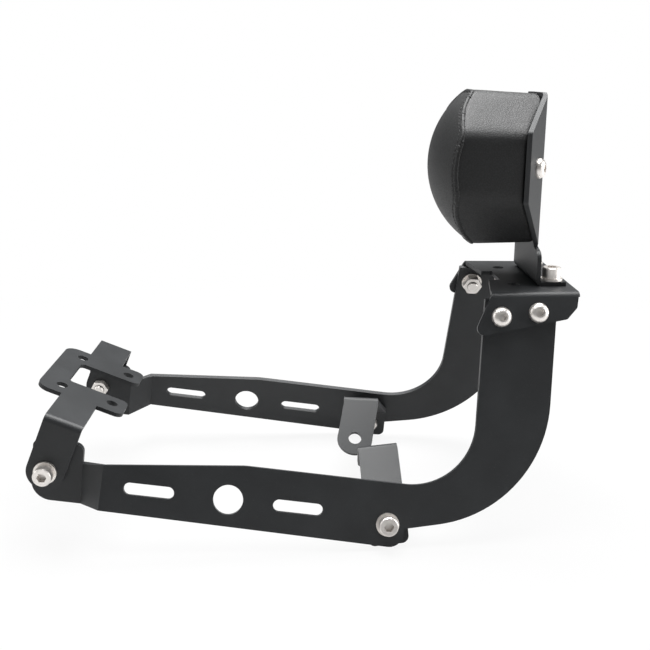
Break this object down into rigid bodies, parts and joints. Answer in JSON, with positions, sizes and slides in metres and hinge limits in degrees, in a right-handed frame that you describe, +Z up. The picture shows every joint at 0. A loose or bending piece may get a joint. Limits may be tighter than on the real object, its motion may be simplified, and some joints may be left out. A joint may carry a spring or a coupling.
{
  "type": "grab rail with backrest",
  "caption": "Motorbike passenger grab rail of folded black sheet steel: side arms with slots, a front mounting bracket and a padded backrest on a bolted top bracket.",
  "frame": {"origin": "on the underside of the front bracket's deck, in the middle of its front bar, on the middle plane", "axes": "+X to the rear of the motorbike, +Y to the rider's right, +Z up as pictured with the pad upright"},
  "size_m": [0.3863, 0.2246, 0.3061],
  "materials": {
    "black_coat": "fine satin black powder coat",
    "stainless": "bright stainless, plain",
    "pad_cover": "grained black cover with a stitched front seam",
    "board": "plain black board"
  },
  "bodies": {
    "root": {"left_side_plate": "black_coat", "right_side_plate": "black_coat", "front_bracket": "black_coat", "left_rear_tab": "black_coat", "right_rear_tab": "black_coat", "top_bracket": "black_coat", "backrest_bracket": "black_coat", "front_screws": "stainless", "front_washers": "stainless", "front_nuts": "stainless", "rear_screws": "stainless", "rear_washers": "stainless", "rear_nuts": "stainless", "top_screws": "stainless", "top_washers": "stainless", "top_nuts": "stainless", "foot_screws": "stainless", "foot_washers": "stainless", "foot_nuts": "stainless", "pad_screws": "stainless", "pad_cushion": "pad_cover", "pad_board": "board"}
  },
  "joints": []
}
